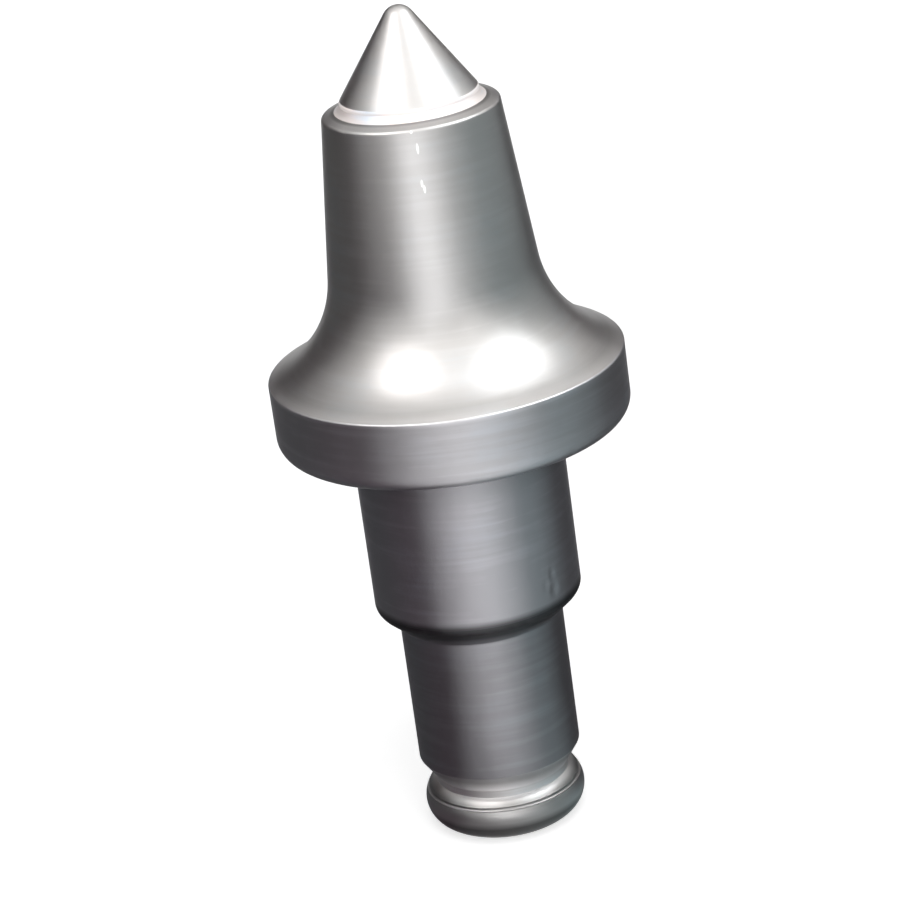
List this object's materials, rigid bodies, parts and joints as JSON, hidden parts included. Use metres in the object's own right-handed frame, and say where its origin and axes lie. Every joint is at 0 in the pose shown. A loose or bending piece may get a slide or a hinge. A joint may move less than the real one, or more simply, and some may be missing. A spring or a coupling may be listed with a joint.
{
  "type": "road milling pick",
  "caption": "Round-shank road milling pick: tapered steel head with a brazed hard metal tip, wide collar, stepped shank, retaining groove and end bead.",
  "frame": {"origin": "centre of the collar's seat face, where the pick meets the face of its holder", "axes": "+Z along the pick's axis from the shank to the tip; the part is round about Z, so X and Y are free"},
  "size_m": [0.064, 0.064, 0.1553],
  "materials": {
    "body_steel": "satin",
    "tip_carbide": "satin",
    "braze": "satin"
  },
  "bodies": {
    "root": {"pick_body": "body_steel", "carbide_tip": "tip_carbide", "braze_joint": "braze"}
  },
  "joints": []
}
